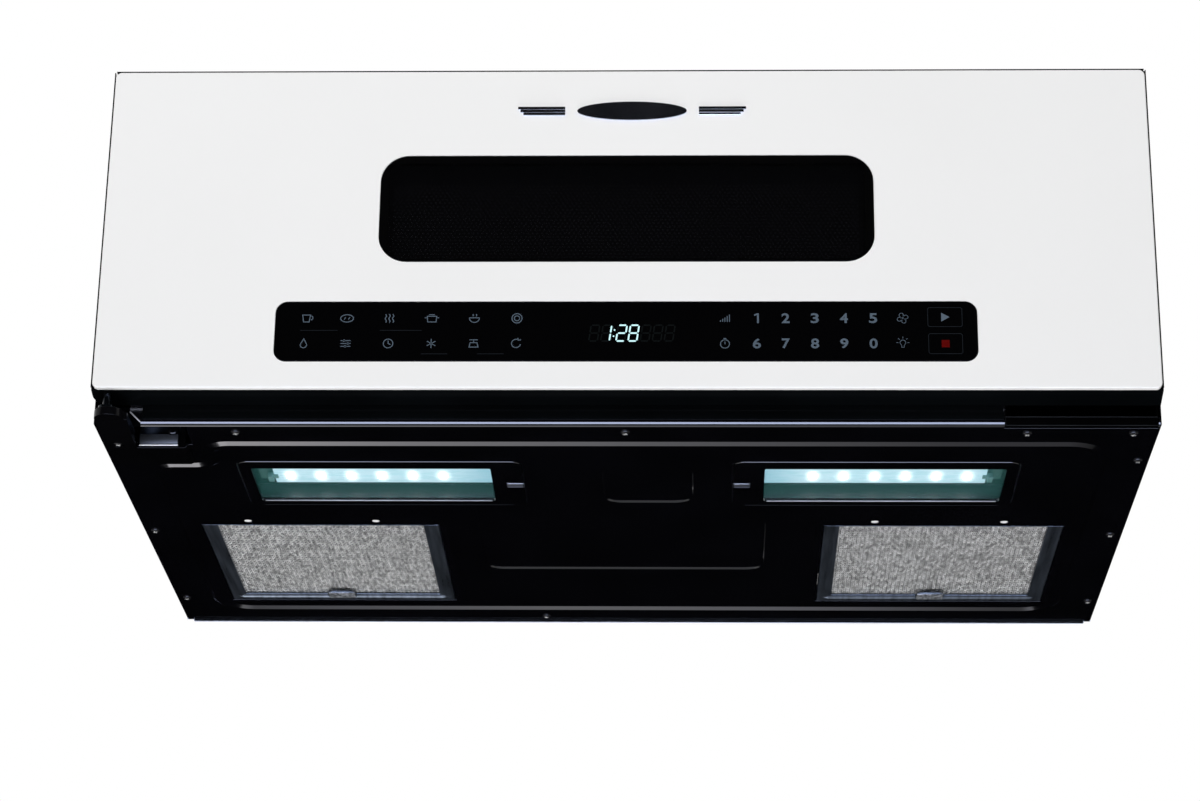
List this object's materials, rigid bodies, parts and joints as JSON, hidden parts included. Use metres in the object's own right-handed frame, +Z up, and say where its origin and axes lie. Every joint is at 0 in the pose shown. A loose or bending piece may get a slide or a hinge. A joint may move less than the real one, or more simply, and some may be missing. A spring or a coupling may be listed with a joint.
{
  "type": "over the range microwave",
  "caption": "Low over the range microwave with a full-width side-hung door, window, touch control strip, two lamps and two grease filters underneath.",
  "frame": {"origin": "middle of the lower edge of the flat back face, which rests on the wall", "axes": "+X to the right as seen by the cook, +Y towards the wall, +Z up"},
  "size_m": [0.759, 0.4682, 0.2944],
  "materials": {
    "white_paint": "gloss",
    "black_paint": "gloss",
    "black_glass": "gloss",
    "lamp_glass": "gloss",
    "clear_glass": "gloss",
    "black_plastic": "satin",
    "zinc_steel": "satin",
    "cavity_paint": "satin",
    "chrome": "polished",
    "aluminium_frame": "satin",
    "aluminium_mesh": "matt",
    "circuit_board": "satin",
    "lamp_board": "satin",
    "mica": "matt",
    "white_plastic": "satin",
    "charcoal": "matt",
    "dark_steel": "satin"
  },
  "bodies": {
    "cabinet": {"base_plate": "black_paint", "base_screws": "dark_steel", "hinge_cover": "black_plastic", "lower_hinge": "zinc_steel", "upper_hinge": "zinc_steel", "handle_pocket": "black_plastic", "lamp_boxes": "black_paint", "led_boards": "lamp_board", "outer_wrap": "black_paint", "rear_panel": "zinc_steel", "front_frame": "black_paint", "vent_grille": "black_plastic", "charcoal_filter": "charcoal", "exhaust_adapter": "zinc_steel", "cord_gland": "black_plastic", "oven_cavity": "cavity_paint", "waveguide_cover": "mica", "waveguide": "zinc_steel", "magnetron": "zinc_steel", "transformer": "dark_steel", "capacitor": "aluminium_frame", "power_board": "circuit_board", "fan_motor": "white_plastic", "turntable_motor": "zinc_steel", "cavity_lamp": "white_plastic", "blower_housing": "black_plastic", "blower_motor": "zinc_steel", "latch_board": "white_plastic", "interlock_switches": "black_plastic"},
    "door": {"door_panel": "white_paint", "window_glass": "black_glass", "control_glass": "black_glass", "door_frame": "black_paint", "door_screen": "black_paint", "door_choke": "zinc_steel", "inner_window": "clear_glass", "door_back": "black_plastic", "touch_board": "circuit_board", "display_module": "black_plastic", "badge_trim": "chrome", "latch_spring": "zinc_steel"},
    "latch": {"latch_key": "white_plastic"},
    "plungers": {"switch_plungers": "white_plastic"},
    "coupler": {"drive_coupler": "white_plastic"},
    "tray": {"glass_tray": "clear_glass"},
    "ring": {"roller_ring": "black_plastic"},
    "wheel_1": {"roller_wheel_1": "white_plastic"},
    "wheel_2": {"roller_wheel_2": "white_plastic"},
    "wheel_3": {"roller_wheel_3": "white_plastic"},
    "fan": {"fan_blade": "white_plastic"},
    "blower": {"blower_wheels": "black_plastic"},
    "damper": {"damper_flap": "zinc_steel"},
    "lamp_door_left": {"lamp_cover_left": "black_paint", "lamp_glass_left": "lamp_glass"},
    "lamp_door_right": {"lamp_cover_right": "black_paint", "lamp_glass_right": "lamp_glass"},
    "filter_left": {"filter_frame_left": "aluminium_frame", "filter_mesh_left": "aluminium_mesh"},
    "filter_right": {"filter_frame_right": "aluminium_frame", "filter_mesh_right": "aluminium_mesh"}
  },
  "joints": [
    {"name": "door_hinge", "type": "hinge", "parent": "cabinet", "child": "door", "pos_m": [-0.36875, -0.45625, 0.145], "axis": [0, 0, -1], "range_deg": [0, 90]},
    {"name": "latch_slide", "type": "slide", "parent": "door", "child": "latch", "axis": [0, 0, 1], "range_m": [0, 0.004], "stiffness_N_per_m": 200, "springref_m": -0.01, "deforming": ["latch_spring"]},
    {"name": "plunger_slide", "type": "slide", "parent": "cabinet", "child": "plungers", "axis": [0, 1, 0], "range_m": [0, 0.0015], "stiffness_N_per_m": 300, "springref_m": -0.003},
    {"name": "turntable_drive", "type": "hinge", "parent": "cabinet", "child": "coupler", "pos_m": [-0.058, -0.277, 0.07], "axis": [0, 0, 1], "continuous": true},
    {"name": "tray_lift", "type": "slide", "parent": "coupler", "child": "tray", "axis": [0, 0, 1], "range_m": [0, 0.06]},
    {"name": "roller_ring_turn", "type": "hinge", "parent": "cabinet", "child": "ring", "pos_m": [-0.058, -0.277, 0.0703], "axis": [0, 0, 1], "continuous": true},
    {"name": "wheel_1_roll", "type": "hinge", "parent": "ring", "child": "wheel_1", "pos_m": [-0.058, -0.1715, 0.0703], "axis": [0, 1, 0], "continuous": true},
    {"name": "wheel_2_roll", "type": "hinge", "parent": "ring", "child": "wheel_2", "pos_m": [-0.14937, -0.32975, 0.0703], "axis": [-0.866, -0.5, 0], "continuous": true},
    {"name": "wheel_3_roll", "type": "hinge", "parent": "ring", "child": "wheel_3", "pos_m": [0.03337, -0.32975, 0.0703], "axis": [0.866, -0.5, 0], "continuous": true},
    {"name": "fan_spin", "type": "hinge", "parent": "cabinet", "child": "fan", "pos_m": [0.3, -0.205, 0.185], "axis": [0, 1, 0], "continuous": true},
    {"name": "blower_spin", "type": "hinge", "parent": "cabinet", "child": "blower", "pos_m": [-0.08, -0.053, 0.212], "axis": [1, 0, 0], "continuous": true},
    {"name": "damper_swing", "type": "hinge", "parent": "cabinet", "child": "damper", "pos_m": [0, -0.01775, 0.281], "axis": [-1, 0, 0], "range_deg": [0, 80]},
    {"name": "lamp_cover_left_hinge", "type": "hinge", "parent": "cabinet", "child": "lamp_door_left", "pos_m": [-0.286, -0.328, 0.0005], "axis": [0, 1, 0], "range_deg": [0, 80]},
    {"name": "lamp_cover_right_hinge", "type": "hinge", "parent": "cabinet", "child": "lamp_door_right", "pos_m": [0.286, -0.328, 0.0005], "axis": [0, -1, 0], "range_deg": [0, 80]},
    {"name": "filter_left_drop", "type": "slide", "parent": "cabinet", "child": "filter_left", "axis": [0, 0, -1], "range_m": [0, 0.06]},
    {"name": "filter_right_drop", "type": "slide", "parent": "cabinet", "child": "filter_right", "axis": [0, 0, -1], "range_m": [0, 0.06]}
  ],
  "couplings": [
    {"joint": "roller_ring_turn", "follows": "turntable_drive", "ratio": 0.5},
    {"joint": "wheel_1_roll", "follows": "turntable_drive", "ratio": -6.5938},
    {"joint": "wheel_2_roll", "follows": "turntable_drive", "ratio": -6.5938},
    {"joint": "wheel_3_roll", "follows": "turntable_drive", "ratio": -6.5938}
  ]
}
